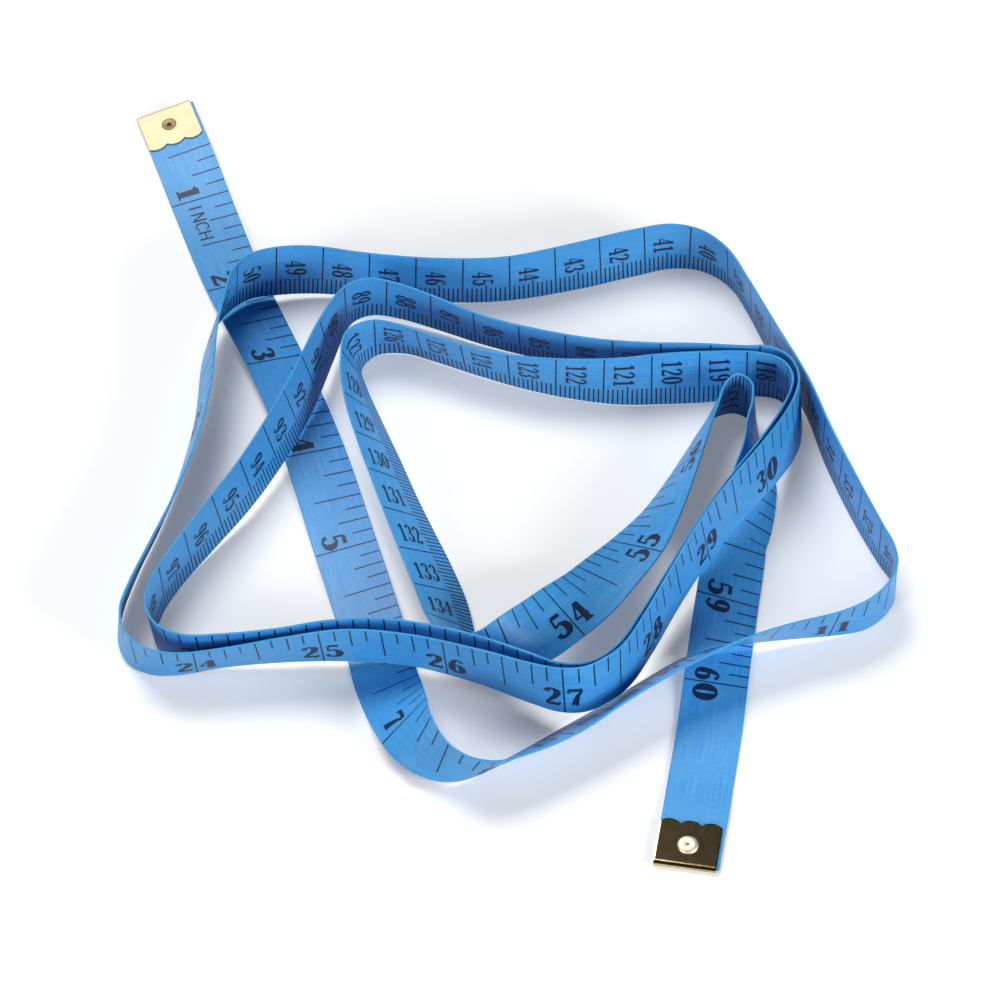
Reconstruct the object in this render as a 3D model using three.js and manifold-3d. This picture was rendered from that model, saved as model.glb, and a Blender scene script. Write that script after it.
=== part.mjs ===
// Cloth tape measure lying in open loops, with a folded brass tip riveted over each end.
// Millimetres, +Z up, the table at z = 0, origin under the middle of the whole object.
import * as THREE from "three";
import Module from "manifold-3d";

// Band.
const TAPE_WIDTH = 13;
const TAPE_THICKNESS = 0.45;
const STEP = 2.5;

// Free tails: length of each one from its end of the band, and the break where it bends up.
const START_TAIL = 45;
const END_TAIL = 30;
const BEND_BREAK = 0.3;

// Folded brass tips.
const PLATE = 0.35;
const TIP_CLEARANCE = 0.1;
const TIP_WIDTH = 12.4;
const TIP_LENGTH = 10.2;
const TIP_OFFSET = 0.3;
const LOBES = 3;
const LOBE_DEPTH = 0.9;

// Rivets.
const RIVET_SETBACK = 4.4;
const SHANK_RADIUS = 1;
const HOLE_CLEARANCE = 0.1;
const HEAD_RADIUS = 2.1;
const HEAD_HEIGHT = 0.55;
const EYE_RADIUS = 0.55;
const SHANK_RECESS = 0.05;

// Height of the band's underside inside a tip.
const TIP_LIFT = PLATE + TIP_CLEARANCE;

// Course of the band as stations [x, y, lean, lift].
// lean: 90 lies flat with the inch face up, 0 stands upright with the inch edge on top,
// 180 stands on that edge.
// lift: height of the lower edge over the table.
const FLAT_START = [
  [-73.6, 107.3, 81.5, TIP_LIFT], [-71.3, 100.7, 81.5, TIP_LIFT], [-69.3, 95, 81.5, TIP_LIFT],
  [-63.8, 79, 88, 0], [-57.2, 60, 93, 0], [-51.9, 47, 97.5, 0], [-46.6, 34.4, 101, 0],
  [-41.4, 20.6, 98.5, 0], [-37.2, 7.6, 92, 0],
  [-32.8, -8.5, 86, 0], [-28.4, -24.4, 82, 0], [-25, -37, 81, 0], [-23, -46, 80, 0], [-21, -53.5, 68, 1],
  [-19.2, -60, 54, 2.8], [-17.4, -65, 41, 3.4], [-14.8, -69, 25, 2.8], [-11.2, -71.7, 4, 1.5],
  [-6.8, -72.5, -14, 0.5], [-2.3, -71.4, -27, 0],
];
const LEANING_FRONT = [
  [5.5, -67.3, -36, 0], [14, -62.1, -40, 0.3], [22.2, -56.4, -37, 0.7], [30.4, -50.8, -37, 1.4],
  [39, -45.8, -38, 2.35], [48.2, -41.9, -31, 2.1], [57.6, -39.1, -23, 1.2], [67.3, -36.8, -16, 0.5],
  [73.8, -34.1, -8, 0], [77.6, -30.6, -4, 0], [79.8, -25.8, 0, 0], [79.4, -21, 2, 0], [77.4, -16.6, 0, 0],
];
const OUTER_RIGHT = [
  [72.8, -5.2, -2, 0], [67.9, 8.8, -1, 0], [63.8, 22.9, 2, 0], [57.8, 36.7, 2, 0], [52.1, 50.9, 5, 0],
  [49.6, 56.3, 5, 0], [46.4, 60.2, 3, 0], [42.2, 62.9, -1, 0], [36.4, 63.8, -6, 0],
];
const OUTER_BACK = [
  [28.6, 62, -9, 0], [17.1, 58.5, -9, 0], [1.5, 54.7, -5, 0], [-13.4, 54.1, -5, 0.2],
  [-28.3, 55.3, -5, 0.5], [-40.2, 56.4, -10, 1], [-47.8, 55.6, -10, 1.4], [-53, 53.6, -4, 2],
  [-56.8, 49.2, 4, 2.5], [-58.8, 44, 12, 2.6],
];
const OUTER_LEFT = [
  [-60.6, 35.4, 16, 2.3], [-61.6, 20, 17, 1.2], [-64.2, 5.5, 18, 0.5], [-68.2, -8.9, 17, 0.5],
  [-72.2, -20.4, 16, 0.6], [-75.4, -31, 11, 0.5], [-76.2, -37.4, 4, 0.2], [-74.4, -42.6, -4, 0],
  [-70, -45.8, -12, 0], [-64.7, -46.6, -17, 0.2],
];
const MIDDLE_FRONT = [
  [-54.9, -45.5, -20, 0.9], [-43.2, -44.4, -15, 1.8], [-30.5, -44, -8, 2.7], [-17.8, -45.8, -8, 3.5],
  [-4.5, -50.2, -5, 4.2], [6.2, -55, 1, 5], [11.8, -57, 5, 5.5], [16.8, -57, 7, 5.8],
  [21.2, -54.6, 7, 5.8], [25, -50.8, 7, 5.4],
];
const MIDDLE_RIGHT = [
  [29.8, -42, 7, 4.8], [35.2, -31.1, 7, 5.1], [41, -20.7, 9, 6.1], [47.3, -11.2, 11, 6.9],
  [54.6, -0.5, 13, 6], [60, 10.3, 12, 2.9], [62, 17.6, 7, 0.7], [62.1, 23, 2, 0.3],
  [59.8, 27.6, -4, 0], [55.8, 30.2, -4, 0],
];
const MIDDLE_BACK = [
  [50.8, 30.2, -5, 0], [40.9, 31, -3, 0], [31, 32, 4, 0], [21.1, 33.5, 9, 0], [8.9, 36.3, 12, 0.2],
  [-3, 39.9, 12, 0.5], [-14.5, 44.8, 8, 1], [-21.4, 47.3, 6, 1.4], [-27, 48.2, 4, 1.7],
  [-31.2, 46.4, 0, 1.9], [-33.8, 42.6, -6, 2],
];
const MIDDLE_LEFT = [
  [-36.6, 35.5, -12, 2.1], [-40.7, 23, -16, 2.2], [-45.8, 10.4, -16, 2.1], [-52.2, -2, -13, 1.6],
  [-59.2, -12.5, -9, 0.7], [-65.6, -22.4, -5, 0.1], [-69.1, -29.8, -5, 0.2], [-70.2, -35.8, -6, 0.4],
  [-68, -40.8, -9, 0.8], [-63, -43.4, -12, 1.1],
];
const INNER_FRONT = [
  [-55, -43.5, -12, 1.4], [-44.5, -42.9, -10, 1.9], [-34.5, -41.8, -6, 2.4], [-24, -41.8, -4, 2.9],
  [-14.2, -43.7, -4, 3.4], [-4.6, -46.8, -3, 3.8], [5, -51.6, 1, 4.4], [11, -54.9, 5, 4.8],
  [16.7, -55.3, 6, 4.9], [20.7, -53.3, 6, 4.8], [24.2, -49.6, 6, 4.4],
];
const INNER_RIGHT = [
  [28.6, -41.4, 6, 3.4], [34, -30.9, 5, 3.8], [39.8, -20.6, 6, 5], [46.2, -10.6, 7, 6],
  [53.2, -0.1, 9, 5.6], [58.2, 10.4, 9, 2.6], [60.6, 18, 6, 0.5], [60.9, 22.9, 3, 0.2],
  [58.6, 26.8, -1, 0], [54, 28.3, -5, 0],
];
const INNER_BACK = [
  [49, 28.3, -10, 0], [44.2, 27.7, -15, 0.2], [34.3, 27, -15, 0.3], [24.3, 26.2, -8, 0.3],
  [14.4, 26.9, 1, 0.3], [4.6, 28.6, 9, 0.4], [-5, 31.5, 14, 0.5], [-14.1, 35.2, 15, 0.5],
  [-20.8, 37.8, 13, 0.4], [-26.6, 38, 4, 0.2], [-30.7, 34.6, -12, 0], [-30.6, 28.8, -24, 0],
];
const INNER_LEFT = [
  [-28.6, 20, -36, 0], [-25, 9, -43, 0], [-21.6, -1, -46, 0], [-18.2, -10.4, -50, 0.2],
  [-14.8, -19.6, -54, 0.4], [-11.8, -28.6, -54, 0.8], [-9.9, -36, -48, 0.6], [-8.7, -40.6, -36, 0.4],
  [-6, -44, -15, 0.8], [-2, -45.2, 8, 2], [2.4, -44, 34, 4.2],
];
const TURNOVER = [
  [7, -41.2, 56, 6], [12, -36.6, 70, 7], [17.4, -30.6, 84, 7.2], [22.6, -23.2, 98, 5.2],
  [28.2, -15.1, 112, 2.2], [33.2, -6.5, 132, 0.4], [37.4, 2.5, 146, 0], [41.2, 11.7, 157, 0],
  [43.4, 17, 162, 0], [45.8, 21.2, 170, 0], [49.2, 23.1, 180, 0], [52.2, 21, 178, 0],
];
const FLAT_END = [
  [52.9, 16.2, 172, 0], [52.6, 11, 163, 0], [53, 6.8, 151, 0], [52.8, 2.7, 140, 0],
  [51, -5.3, 127, 0], [49.8, -9, 121, 0], [48.6, -12, 115, 0], [48, -15.3, 110, 0],
  [46.9, -21.5, 103, 0], [45.8, -28.5, 104, 0], [44.7, -36, 99, 0],
  [43.2, -47, 94.5, 0], [42.3, -53.5, 91, 0], [41.6, -58.5, 90, 0], [39.7, -70, 90, 0],
  [38.4, -78.2, 90, TIP_LIFT], [37.2, -85, 90, TIP_LIFT], [36.2, -91, 90, TIP_LIFT],
];
const STATIONS = [
  ...FLAT_START, ...LEANING_FRONT, ...OUTER_RIGHT, ...OUTER_BACK, ...OUTER_LEFT, ...MIDDLE_FRONT,
  ...MIDDLE_RIGHT, ...MIDDLE_BACK, ...MIDDLE_LEFT, ...INNER_FRONT, ...INNER_RIGHT, ...INNER_BACK,
  ...INNER_LEFT, ...TURNOVER, ...FLAT_END,
];

// Smooth curve through all four values of the stations, with knots at the square root of the distance.
function smooth(stations, pieces) {
  const last = stations.length - 1;
  const knots = [];
  const slopes = [];
  for (let i = 0; i < last; i += 1) {
    const [p, q] = [stations[i], stations[i + 1]];
    const h = Math.sqrt(Math.hypot(q[0] - p[0], q[1] - p[1]));
    knots.push(h);
    slopes.push(q.map((value, k) => (value - p[k]) / h));
  }
  const tangents = stations.map((_, i) => {
    if (i === 0) return slopes[0];
    if (i === last) return slopes[last - 1];
    const [before, after] = [knots[i - 1], knots[i]];
    return slopes[i].map((value, k) => (after * slopes[i - 1][k] + before * value) / (before + after));
  });
  const out = [];
  for (let i = 0; i < last; i += 1) {
    for (let j = 0; j < pieces; j += 1) {
      const t = j / pieces;
      const [t2, t3] = [t * t, t * t * t];
      const h = knots[i];
      out.push(stations[i].map((value, k) =>
        (2 * t3 - 3 * t2 + 1) * value + (t3 - 2 * t2 + t) * h * tangents[i][k]
        + (3 * t2 - 2 * t3) * stations[i + 1][k] + (t3 - t2) * h * tangents[i + 1][k]));
    }
  }
  out.push(stations[last]);
  return out;
}

// The band's centre line with its lean, by distance along the band.
class Course {
  constructor(stations) {
    this.points = [];
    this.leans = [];
    this.distances = [0];
    for (const [x, y, degrees, lift] of smooth(stations, 24)) {
      const lean = THREE.MathUtils.degToRad(degrees);
      const rise = TAPE_WIDTH / 2 * Math.abs(Math.cos(lean))
        + TAPE_THICKNESS / 2 * Math.abs(Math.sin(lean));
      const point = new THREE.Vector3(x, y, Math.max(lift, 0) + rise);
      const before = this.points[this.points.length - 1];
      if (before) this.distances.push(this.distances[this.distances.length - 1] + before.distanceTo(point));
      this.points.push(point);
      this.leans.push(lean);
    }
    this.length = this.distances[this.distances.length - 1];
  }

  at(distance) {
    const d = THREE.MathUtils.clamp(distance, 0, this.length);
    let low = 0;
    let high = this.distances.length - 1;
    while (high - low > 1) {
      const middle = (low + high) >> 1;
      if (this.distances[middle] <= d) low = middle;
      else high = middle;
    }
    const share = (d - this.distances[low]) / (this.distances[high] - this.distances[low]);
    return {
      point: this.points[low].clone().lerp(this.points[high], share),
      lean: THREE.MathUtils.lerp(this.leans[low], this.leans[high], share),
    };
  }

  // Centre, direction of travel, direction across towards the inch edge, and the inch face's normal.
  section(distance) {
    const { point, lean } = this.at(distance);
    const travel = this.at(distance + 1).point.sub(this.at(distance - 1).point).normalize();
    const left = new THREE.Vector3(-travel.y, travel.x, 0).normalize();
    const up = travel.clone().cross(left);
    const across = up.multiplyScalar(Math.cos(lean)).addScaledVector(left, Math.sin(lean));
    const normal = travel.clone().cross(across);
    return { point, travel, across, normal };
  }
}

// Closed band between two distances along the course.
function band(course, from, to) {
  const steps = Math.round((to - from) / STEP);
  const corners = [[-1, -1], [1, -1], [1, 1], [-1, 1]];
  const positions = [];
  const index = [];
  for (let i = 0; i <= steps; i += 1) {
    const { point, across, normal } = course.section(from + (to - from) * i / steps);
    for (const [a, n] of corners) {
      const corner = point.clone();
      corner.addScaledVector(across, a * TAPE_WIDTH / 2);
      corner.addScaledVector(normal, n * TAPE_THICKNESS / 2);
      positions.push(corner.x, corner.y, Math.max(corner.z, 0));
    }
  }
  for (let i = 0; i < steps; i += 1) {
    for (let k = 0; k < 4; k += 1) {
      const [a, b] = [4 * i + k, 4 * i + (k + 1) % 4];
      index.push(a, b, b + 4, a, b + 4, a + 4);
    }
  }
  const end = 4 * steps;
  index.push(0, 2, 1, 0, 3, 2, end, end + 1, end + 2, end, end + 2, end + 3);
  const geometry = new THREE.BufferGeometry();
  geometry.setAttribute("position", new THREE.Float32BufferAttribute(positions, 3));
  geometry.setIndex(index);
  return geometry;
}

// Least gap of the band to itself, face to face, on points a millimetre apart.
function leastGap(course, from, to) {
  const near = 2;
  const apart = 22;
  const cells = new Map();
  const key = (x, y, z) => x + "," + y + "," + z;
  const seen = [];
  let least = near;
  for (let d = from; d <= to; d += 1) {
    const { point, across } = course.section(d);
    for (let k = 0; k <= 13; k += 1) {
      const p = point.clone().addScaledVector(across, TAPE_WIDTH * (k / 13 - 0.5));
      const cell = p.toArray().map((value) => Math.floor(value / near));
      for (let x = -1; x <= 1; x += 1) {
        for (let y = -1; y <= 1; y += 1) {
          for (let z = -1; z <= 1; z += 1) {
            for (const i of cells.get(key(cell[0] + x, cell[1] + y, cell[2] + z)) ?? []) {
              if (d - seen[i].d < apart) continue;
              least = Math.min(least, seen[i].p.distanceTo(p) - TAPE_THICKNESS);
            }
          }
        }
      }
      const here = key(...cell);
      if (!cells.has(here)) cells.set(here, []);
      cells.get(here).push(seen.length);
      seen.push({ d, p });
    }
  }
  return least;
}

// Solid turned about the z axis from a profile of [radius, height] that starts and ends on the axis.
function turned(profile, segments) {
  const rings = profile.slice(1, -1);
  const positions = [0, 0, profile[0][1]];
  const index = [];
  for (const [radius, height] of rings) {
    for (let k = 0; k < segments; k += 1) {
      const angle = 2 * Math.PI * k / segments;
      positions.push(radius * Math.cos(angle), radius * Math.sin(angle), height);
    }
  }
  const top = positions.length / 3;
  positions.push(0, 0, profile[profile.length - 1][1]);
  for (let k = 0; k < segments; k += 1) {
    const next = (k + 1) % segments;
    index.push(0, 1 + next, 1 + k);
    for (let r = 0; r + 1 < rings.length; r += 1) {
      const [low, high] = [1 + r * segments, 1 + (r + 1) * segments];
      index.push(low + k, low + next, high + next, low + k, high + next, high + k);
    }
    const rim = 1 + (rings.length - 1) * segments;
    index.push(rim + k, rim + next, top);
  }
  const geometry = new THREE.BufferGeometry();
  geometry.setAttribute("position", new THREE.Float32BufferAttribute(positions, 3));
  geometry.setIndex(index);
  return geometry;
}

const kernel = await Module();
kernel.setup();

function toSolid(geometry) {
  const bare = geometry.index ? geometry.toNonIndexed() : geometry;
  const array = bare.getAttribute("position").array;
  const mesh = new kernel.Mesh({
    numProp: 3,
    vertProperties: new Float32Array(array),
    triVerts: Uint32Array.from({ length: array.length / 3 }, (_, i) => i),
  });
  mesh.merge();
  return new kernel.Manifold(mesh);
}

function toGeometry(solid) {
  const mesh = solid.getMesh();
  const geometry = new THREE.BufferGeometry();
  geometry.setAttribute("position", new THREE.Float32BufferAttribute(mesh.vertProperties, 3));
  geometry.setIndex(new THREE.BufferAttribute(new Uint32Array(mesh.triVerts), 1));
  return geometry;
}

// Heights inside a tip, from the table up.
const TAPE_TOP = TIP_LIFT + TAPE_THICKNESS;
const TOP_PLATE = TAPE_TOP + TIP_CLEARANCE;
const TIP_TOP = TOP_PLATE + PLATE;

// Strip of brass folded over the band's end: x runs inward from the end, y across, z up.
function foldedStrip() {
  const side = new THREE.Shape();
  const reach = TIP_LENGTH + 1;
  const middle = TIP_TOP / 2;
  side.moveTo(reach, 0);
  side.lineTo(reach, PLATE);
  side.lineTo(0, PLATE);
  side.absarc(0, middle, middle - PLATE, 1.5 * Math.PI, 0.5 * Math.PI, true);
  side.lineTo(reach, TOP_PLATE);
  side.lineTo(reach, TIP_TOP);
  side.lineTo(0, TIP_TOP);
  side.absarc(0, middle, middle, 0.5 * Math.PI, 1.5 * Math.PI, false);
  side.lineTo(reach, 0);
  const rounding = { depth: TIP_WIDTH, bevelEnabled: false, curveSegments: 10 };
  const geometry = new THREE.ExtrudeGeometry(side, rounding);
  geometry.rotateX(Math.PI / 2);
  geometry.translate(0, TIP_WIDTH / 2, 0);
  return geometry;
}

// Plan of a tip: square at the fold, with a row of round lobes along the inner edge.
function lobedPlan() {
  const plan = new THREE.Shape();
  const pitch = TIP_WIDTH / LOBES;
  const half = pitch / 2;
  const radius = (half * half + LOBE_DEPTH * LOBE_DEPTH) / (2 * LOBE_DEPTH);
  const swing = Math.asin(half / radius);
  plan.moveTo(-TIP_TOP, -TIP_WIDTH / 2 - 1);
  plan.lineTo(TIP_LENGTH - LOBE_DEPTH, -TIP_WIDTH / 2 - 1);
  plan.lineTo(TIP_LENGTH - LOBE_DEPTH, -TIP_WIDTH / 2);
  for (let i = 0; i < LOBES; i += 1) {
    const centre = -TIP_WIDTH / 2 + pitch * (i + 0.5);
    plan.absarc(TIP_LENGTH - radius, centre, radius, -swing, swing, false);
  }
  plan.lineTo(TIP_LENGTH - LOBE_DEPTH, TIP_WIDTH / 2 + 1);
  plan.lineTo(-TIP_TOP, TIP_WIDTH / 2 + 1);
  const rounding = { depth: 3 * TIP_TOP, bevelEnabled: false, curveSegments: 10 };
  const geometry = new THREE.ExtrudeGeometry(plan, rounding);
  geometry.translate(0, 0, -TIP_TOP);
  return geometry;
}

function rivetHole() {
  const geometry = new THREE.CylinderGeometry(SHANK_RADIUS + HOLE_CLEARANCE, SHANK_RADIUS + HOLE_CLEARANCE,
    6 * TIP_TOP, 32);
  geometry.rotateX(Math.PI / 2);
  geometry.translate(RIVET_SETBACK, 0, 0);
  return geometry;
}

function tipGeometry() {
  const sheet = toSolid(foldedStrip()).intersect(toSolid(lobedPlan()));
  return toGeometry(sheet.subtract(toSolid(rivetHole())));
}

// Rivet with a domed head on top, a small eye in the head and a shank down through both plates.
function rivetGeometry() {
  const seat = TIP_TOP + TIP_CLEARANCE;
  const crown = seat + HEAD_HEIGHT;
  const geometry = turned([
    [0, SHANK_RECESS],
    [SHANK_RADIUS, SHANK_RECESS],
    [SHANK_RADIUS, seat],
    [HEAD_RADIUS, seat],
    [HEAD_RADIUS * 0.97, seat + HEAD_HEIGHT * 0.45],
    [HEAD_RADIUS * 0.85, seat + HEAD_HEIGHT * 0.8],
    [HEAD_RADIUS * 0.66, crown],
    [EYE_RADIUS + 0.25, crown],
    [EYE_RADIUS, seat + HEAD_HEIGHT * 0.7],
    [EYE_RADIUS * 0.9, seat],
    [0, seat],
  ], 32);
  geometry.translate(RIVET_SETBACK, 0, 0);
  return geometry;
}

// Placement of a tip: its x axis runs from the band's end inward,
// and it sits a little away from the inch edge.
function endFrame(course, distance, inward) {
  const { point, travel, across, normal } = course.section(distance);
  const along = travel.clone().multiplyScalar(inward);
  const frame = new THREE.Matrix4().makeBasis(along, normal.clone().cross(along), normal);
  const seat = point.clone();
  seat.addScaledVector(normal, -TIP_LIFT - TAPE_THICKNESS / 2);
  seat.addScaledVector(across, -TIP_OFFSET);
  return frame.setPosition(seat);
}

// Tail with the rivet's hole through it.
function tail(course, from, to, frame) {
  return toGeometry(toSolid(band(course, from, to)).subtract(toSolid(rivetHole().applyMatrix4(frame))));
}

const course = new Course(STATIONS);
const startFrame = endFrame(course, 0, 1);
const endFrameAt = endFrame(course, course.length, -1);
const startBend = START_TAIL;
const endBend = course.length - END_TAIL;
const half = BEND_BREAK / 2;

const blue = { color: 0x4f9be0, roughness: 0.55, metalness: 0 };
const brass = { color: 0xc9b27c, roughness: 0.35, metalness: 1 };
const rivetBrass = { color: 0xe0d3a4, roughness: 0.25, metalness: 1 };

const assembly = new THREE.Group();
assembly.name = "cloth_tape_measure";
function add(name, geometry, finish) {
  const mesh = new THREE.Mesh(geometry, new THREE.MeshStandardMaterial(finish));
  mesh.name = name;
  assembly.add(mesh);
}

add("tape_loops", band(course, startBend + half, endBend - half), blue);
add("start_tail", tail(course, 0, startBend - half, startFrame), blue);
add("end_tail", tail(course, endBend + half, course.length, endFrameAt), blue);
add("start_tip", tipGeometry().applyMatrix4(startFrame), brass);
add("end_tip", tipGeometry().applyMatrix4(endFrameAt), brass);
add("start_rivet", rivetGeometry().applyMatrix4(startFrame), rivetBrass);
add("end_rivet", rivetGeometry().applyMatrix4(endFrameAt), rivetBrass);

// The origin goes under the middle of the whole object.
const box = new THREE.Box3().setFromObject(assembly);
const middle = box.getCenter(new THREE.Vector3());
const shift = new THREE.Vector3(-middle.x, -middle.y, -box.min.z);
for (const mesh of assembly.children) mesh.geometry.translate(shift.x, shift.y, shift.z);

const round = (vector) => vector.toArray().map((value) => Number(value.toFixed(3)));
console.log("band length", course.length.toFixed(1), "least gap to itself",
  leastGap(course, startBend, endBend).toFixed(2));
console.log("box", round(box.getSize(new THREE.Vector3())), "shift", round(shift));
for (const [name, distance, frame] of [["start", startBend, startFrame], ["end", endBend, endFrameAt]]) {
  const { point, across, normal } = course.section(distance);
  const hinge = point.clone().add(shift).addScaledVector(normal, TAPE_THICKNESS / 2);
  const tip = new THREE.Vector3(RIVET_SETBACK / 2, 0, 0).applyMatrix4(frame).add(shift);
  console.log(name, "bend", round(hinge), "across", round(across), "tip underside", round(tip));
}

export default assembly;
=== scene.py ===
"""Cloth tape measure lying in open loops: printed band, riveted brass tips and a plain studio."""
import logging
import math
from dataclasses import dataclass, field
from enum import Enum
from typing import Sequence

import bmesh
import bpy
import numpy as np
from mathutils import Matrix, Vector


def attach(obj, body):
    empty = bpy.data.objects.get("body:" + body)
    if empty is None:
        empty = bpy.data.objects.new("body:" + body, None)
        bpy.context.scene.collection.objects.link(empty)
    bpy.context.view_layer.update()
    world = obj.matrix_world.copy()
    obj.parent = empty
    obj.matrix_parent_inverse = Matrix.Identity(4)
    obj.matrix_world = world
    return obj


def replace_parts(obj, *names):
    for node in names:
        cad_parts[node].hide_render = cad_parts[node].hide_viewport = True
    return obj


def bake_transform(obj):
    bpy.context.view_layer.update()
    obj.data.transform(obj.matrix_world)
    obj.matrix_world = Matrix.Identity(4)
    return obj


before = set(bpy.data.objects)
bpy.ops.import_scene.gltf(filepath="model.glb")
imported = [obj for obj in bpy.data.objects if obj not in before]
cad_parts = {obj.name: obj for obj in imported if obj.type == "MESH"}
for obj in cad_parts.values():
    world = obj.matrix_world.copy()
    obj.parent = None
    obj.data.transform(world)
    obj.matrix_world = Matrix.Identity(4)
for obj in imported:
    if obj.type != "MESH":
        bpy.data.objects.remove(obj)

log = logging.getLogger("tape_measure")

Stations = tuple[tuple[float, float, float, float], ...]
Stroke = tuple[tuple[float, float, float], ...]
Colour = tuple[float, float, float]

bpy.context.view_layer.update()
MM = 0.001
INCH = 0.0254

# Band, in metres.
TAPE_WIDTH = 0.013
TAPE_THICKNESS = 0.00045
START_TAIL = 0.045
END_TAIL = 0.030

# Stretch of the loops that is made in one sheet with each tail, beyond its bend.
START_OVERLAP = 0.013
END_OVERLAP = 0.012

# Seat of a tip: height of the band inside it, and its place towards the plain edge.
TIP_LIFT = 0.00045
TIP_OFFSET = 0.0003

# Middle of the whole object in the coordinates of the stations.
MIDDLE = Vector((0.000165, 0.008613, 0.0))

# Course of the band as stations (x, y, lean, lift): lean 90 lies flat with the inch face up,
# 0 stands upright with the inch edge on top; lift is the height of the lower edge.
FLAT_START: Stations = (
    (-0.0736, 0.1073, 81.5, TIP_LIFT), (-0.0713, 0.1007, 81.5, TIP_LIFT),
    (-0.0693, 0.095, 81.5, TIP_LIFT),
    (-0.0638, 0.079, 88, 0), (-0.0572, 0.06, 93, 0), (-0.0519, 0.047, 97.5, 0),
    (-0.0466, 0.0344, 101, 0), (-0.0414, 0.0206, 98.5, 0), (-0.0372, 0.0076, 92, 0),
    (-0.0328, -0.0085, 86, 0), (-0.0284, -0.0244, 82, 0), (-0.025, -0.037, 81, 0),
    (-0.023, -0.046, 80, 0), (-0.021, -0.0535, 68, 0.001), (-0.0192, -0.06, 54, 0.0028),
    (-0.0174, -0.065, 41, 0.0034), (-0.0148, -0.069, 25, 0.0028), (-0.0112, -0.0717, 4, 0.0015),
    (-0.0068, -0.0725, -14, 0.0005), (-0.0023, -0.0714, -27, 0),
)
LEANING_FRONT: Stations = (
    (0.0055, -0.0673, -36, 0), (0.014, -0.0621, -40, 0.0003), (0.0222, -0.0564, -37, 0.0007),
    (0.0304, -0.0508, -37, 0.0014), (0.039, -0.0458, -38, 0.00235), (0.0482, -0.0419, -31, 0.0021),
    (0.0576, -0.0391, -23, 0.0012), (0.0673, -0.0368, -16, 0.0005), (0.0738, -0.0341, -8, 0),
    (0.0776, -0.0306, -4, 0), (0.0798, -0.0258, 0, 0), (0.0794, -0.021, 2, 0), (0.0774, -0.0166, 0, 0),
)
OUTER_RIGHT: Stations = (
    (0.0728, -0.0052, -2, 0), (0.0679, 0.0088, -1, 0), (0.0638, 0.0229, 2, 0), (0.0578, 0.0367, 2, 0),
    (0.0521, 0.0509, 5, 0), (0.0496, 0.0563, 5, 0), (0.0464, 0.0602, 3, 0), (0.0422, 0.0629, -1, 0),
    (0.0364, 0.0638, -6, 0),
)
OUTER_BACK: Stations = (
    (0.0286, 0.062, -9, 0), (0.0171, 0.0585, -9, 0), (0.0015, 0.0547, -5, 0),
    (-0.0134, 0.0541, -5, 0.0002), (-0.0283, 0.0553, -5, 0.0005), (-0.0402, 0.0564, -10, 0.001),
    (-0.0478, 0.0556, -10, 0.0014), (-0.053, 0.0536, -4, 0.002), (-0.0568, 0.0492, 4, 0.0025),
    (-0.0588, 0.044, 12, 0.0026),
)
OUTER_LEFT: Stations = (
    (-0.0606, 0.0354, 16, 0.0023), (-0.0616, 0.02, 17, 0.0012), (-0.0642, 0.0055, 18, 0.0005),
    (-0.0682, -0.0089, 17, 0.0005), (-0.0722, -0.0204, 16, 0.0006), (-0.0754, -0.031, 11, 0.0005),
    (-0.0762, -0.0374, 4, 0.0002), (-0.0744, -0.0426, -4, 0), (-0.07, -0.0458, -12, 0),
    (-0.0647, -0.0466, -17, 0.0002),
)
MIDDLE_FRONT: Stations = (
    (-0.0549, -0.0455, -20, 0.0009), (-0.0432, -0.0444, -15, 0.0018), (-0.0305, -0.044, -8, 0.0027),
    (-0.0178, -0.0458, -8, 0.0035), (-0.0045, -0.0502, -5, 0.0042), (0.0062, -0.055, 1, 0.005),
    (0.0118, -0.057, 5, 0.0055), (0.0168, -0.057, 7, 0.0058), (0.0212, -0.0546, 7, 0.0058),
    (0.025, -0.0508, 7, 0.0054),
)
MIDDLE_RIGHT: Stations = (
    (0.0298, -0.042, 7, 0.0048), (0.0352, -0.0311, 7, 0.0051), (0.041, -0.0207, 9, 0.0061),
    (0.0473, -0.0112, 11, 0.0069), (0.0546, -0.0005, 13, 0.006), (0.06, 0.0103, 12, 0.0029),
    (0.062, 0.0176, 7, 0.0007), (0.0621, 0.023, 2, 0.0003), (0.0598, 0.0276, -4, 0),
    (0.0558, 0.0302, -4, 0),
)
MIDDLE_BACK: Stations = (
    (0.0508, 0.0302, -5, 0), (0.0409, 0.031, -3, 0), (0.031, 0.032, 4, 0), (0.0211, 0.0335, 9, 0),
    (0.0089, 0.0363, 12, 0.0002), (-0.003, 0.0399, 12, 0.0005), (-0.0145, 0.0448, 8, 0.001),
    (-0.0214, 0.0473, 6, 0.0014), (-0.027, 0.0482, 4, 0.0017), (-0.0312, 0.0464, 0, 0.0019),
    (-0.0338, 0.0426, -6, 0.002),
)
MIDDLE_LEFT: Stations = (
    (-0.0366, 0.0355, -12, 0.0021), (-0.0407, 0.023, -16, 0.0022), (-0.0458, 0.0104, -16, 0.0021),
    (-0.0522, -0.002, -13, 0.0016), (-0.0592, -0.0125, -9, 0.0007), (-0.0656, -0.0224, -5, 0.0001),
    (-0.0691, -0.0298, -5, 0.0002), (-0.0702, -0.0358, -6, 0.0004), (-0.068, -0.0408, -9, 0.0008),
    (-0.063, -0.0434, -12, 0.0011),
)
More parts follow.
